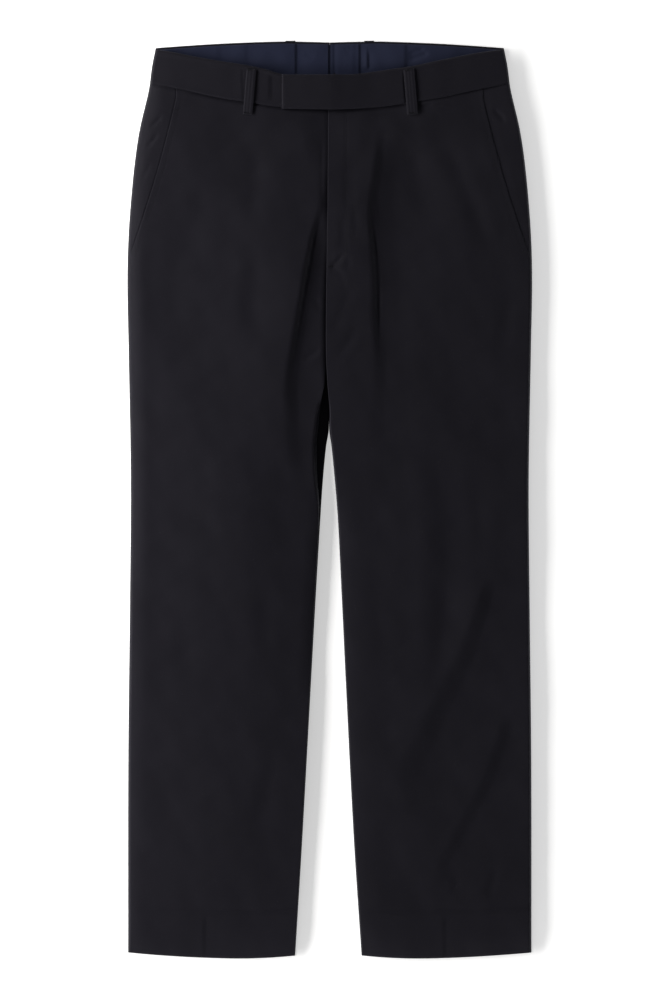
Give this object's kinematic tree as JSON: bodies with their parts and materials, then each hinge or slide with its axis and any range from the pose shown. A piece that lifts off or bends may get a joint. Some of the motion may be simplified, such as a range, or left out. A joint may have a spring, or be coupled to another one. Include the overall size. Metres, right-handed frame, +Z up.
{
  "type": "dress trousers",
  "caption": "Flat-front dress trousers in fine wool, laid flat with open legs and waist, slanted side pockets, a fly, belt loops and a square waistband tab.",
  "frame": {"origin": "on the surface the trousers lie on, under the middle of their length and width", "axes": "+Y from the hems to the waist, +X to the wearer's left, +Z up out of the front of the garment"},
  "size_m": [0.4738, 1.0734, 0.0157],
  "materials": {
    "wool": "matte fine worsted wool in near-black navy, with a soft nap",
    "lining": "smooth navy waistband lining with a low sheen",
    "zip_tape": "plain woven black tape"
  },
  "bodies": {
    "root": {"back_left": "wool", "back_right": "wool", "front_left": "wool", "front_right": "wool", "pocket_facing_left": "wool", "pocket_facing_right": "wool", "waistband_back_left": "wool", "waistband_back_right": "wool", "waistband_front_left": "wool", "waistband_front_right": "wool", "waistband_lining_left": "lining", "waistband_lining_right": "lining", "belt_loop_front_left": "wool", "belt_loop_front_right": "wool", "belt_loop_side_left": "wool", "belt_loop_side_right": "wool", "belt_loop_back_left": "wool", "belt_loop_back_right": "wool", "fly_zip": "zip_tape"}
  },
  "joints": []
}
